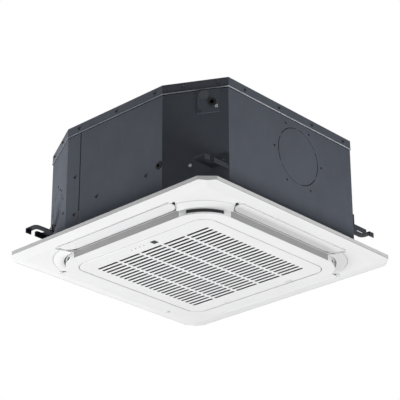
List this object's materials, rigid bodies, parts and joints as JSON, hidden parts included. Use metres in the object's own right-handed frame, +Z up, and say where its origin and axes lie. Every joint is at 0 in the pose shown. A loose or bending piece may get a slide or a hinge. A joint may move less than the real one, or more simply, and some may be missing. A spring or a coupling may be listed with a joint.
{
  "type": "cassette fan coil unit",
  "caption": "Ceiling cassette fan coil unit with a square white panel, slotted intake grille and swing louvers round it",
  "frame": {"origin": "middle of the four hanger slots, on the underside of the hanger plates", "axes": "+Z up, -Y the side with the receiver window and the grille's hinge, +X right"},
  "size_m": [0.647, 0.647, 0.3158],
  "materials": {
    "lid_paint": "satin",
    "wrap_paint": "satin",
    "bracket_paint": "satin",
    "panel_white": "satin",
    "louver_white": "satin",
    "grille_white": "satin",
    "dark_plastic": "matte",
    "lens": "gloss",
    "lamp": "gloss",
    "foam": "matte",
    "foam_dark": "matte",
    "rubber": "matte",
    "zinc": "satin",
    "fins": "satin",
    "copper": "satin",
    "brass": "satin",
    "motor_steel": "satin",
    "fan_plastic": "satin",
    "pump_plastic": "satin",
    "hose": "satin",
    "circuit": "satin",
    "net": "matte"
  },
  "bodies": {
    "unit": {"top_cover": "lid_paint", "casing_wrap_left": "wrap_paint", "casing_wrap_right": "wrap_paint", "casing_liner": "foam", "lid_liner": "foam", "hanger_brackets": "bracket_paint", "panel_lugs": "zinc", "casing_screws": "zinc", "service_plate": "wrap_paint", "service_plug": "dark_plastic", "grommets": "rubber", "coil_fins": "fins", "coil_bends": "copper", "coil_end_plates": "zinc", "inlet_header": "brass", "outlet_header": "brass", "closing_plate": "zinc", "motor_case": "motor_steel", "motor_stator": "copper", "motor_bearings": "zinc", "motor_mounts": "rubber", "motor_bolts": "zinc", "bell_mouth": "dark_plastic", "drain_pan": "foam", "pump_body": "pump_plastic", "pump_bracket": "zinc", "drain_hose": "hose", "float_stem": "pump_plastic", "control_box": "zinc", "control_box_cover": "zinc", "control_board": "circuit", "terminal_block": "dark_plastic", "panel_frame": "panel_white", "panel_gasket": "foam_dark", "corner_cover_front_left": "panel_white", "corner_cover_front_right": "panel_white", "corner_cover_back_right": "panel_white", "corner_cover_back_left": "panel_white", "louver_motors": "dark_plastic", "slot_inserts": "dark_plastic", "panel_screws": "zinc"},
    "fan": {"fan_impeller": "fan_plastic", "fan_nut": "zinc", "motor_rotor": "zinc", "motor_shaft": "zinc"},
    "front_louver": {"louver_front": "louver_white"},
    "right_louver": {"louver_right": "louver_white"},
    "back_louver": {"louver_back": "louver_white"},
    "left_louver": {"louver_left": "louver_white"},
    "grille": {"intake_grille": "grille_white", "air_filter": "net", "receiver_window": "lens", "status_lamps": "lamp", "display_board": "circuit"},
    "left_latch": {"latch_left": "grille_white"},
    "right_latch": {"latch_right": "grille_white"},
    "float": {"float_ring": "pump_plastic"},
    "rotor": {"pump_rotor": "pump_plastic"},
    "vent": {"vent_screw": "zinc"}
  },
  "joints": [
    {"name": "fan_spin", "type": "hinge", "parent": "unit", "child": "fan", "pos_m": [0, 0, 0.1], "axis": [0, 0, 1], "continuous": true},
    {"name": "front_louver_swing", "type": "hinge", "parent": "unit", "child": "front_louver", "pos_m": [0, -0.287, -0.072], "axis": [1, 0, 0], "range_deg": [-22.7, 22]},
    {"name": "right_louver_swing", "type": "hinge", "parent": "unit", "child": "right_louver", "pos_m": [0.287, 0, -0.072], "axis": [0, 1, 0], "range_deg": [-22.7, 22]},
    {"name": "back_louver_swing", "type": "hinge", "parent": "unit", "child": "back_louver", "pos_m": [0, 0.287, -0.072], "axis": [-1, 0, 0], "range_deg": [-22.7, 22]},
    {"name": "left_louver_swing", "type": "hinge", "parent": "unit", "child": "left_louver", "pos_m": [-0.287, 0, -0.072], "axis": [0, -1, 0], "range_deg": [-22.7, 22]},
    {"name": "grille_swing", "type": "hinge", "parent": "unit", "child": "grille", "pos_m": [0, -0.223, -0.086], "axis": [-1, 0, 0], "range_deg": [0, 85]},
    {"name": "left_latch_slide", "type": "slide", "parent": "grille", "child": "left_latch", "axis": [0, 1, 0], "range_m": [0, 0.004]},
    {"name": "right_latch_slide", "type": "slide", "parent": "grille", "child": "right_latch", "axis": [0, 1, 0], "range_m": [0, 0.004]},
    {"name": "float_rise", "type": "slide", "parent": "unit", "child": "float", "axis": [0, 0, 1], "range_m": [0, 0.012]},
    {"name": "pump_spin", "type": "hinge", "parent": "unit", "child": "rotor", "pos_m": [-0.20936, 0.19639, -0.02], "axis": [0, 0, 1], "continuous": true},
    {"name": "vent_turn", "type": "hinge", "parent": "unit", "child": "vent", "pos_m": [-0.197, 0.14, 0.18], "axis": [0, 0, 1], "range_deg": [0, 360]}
  ]
}
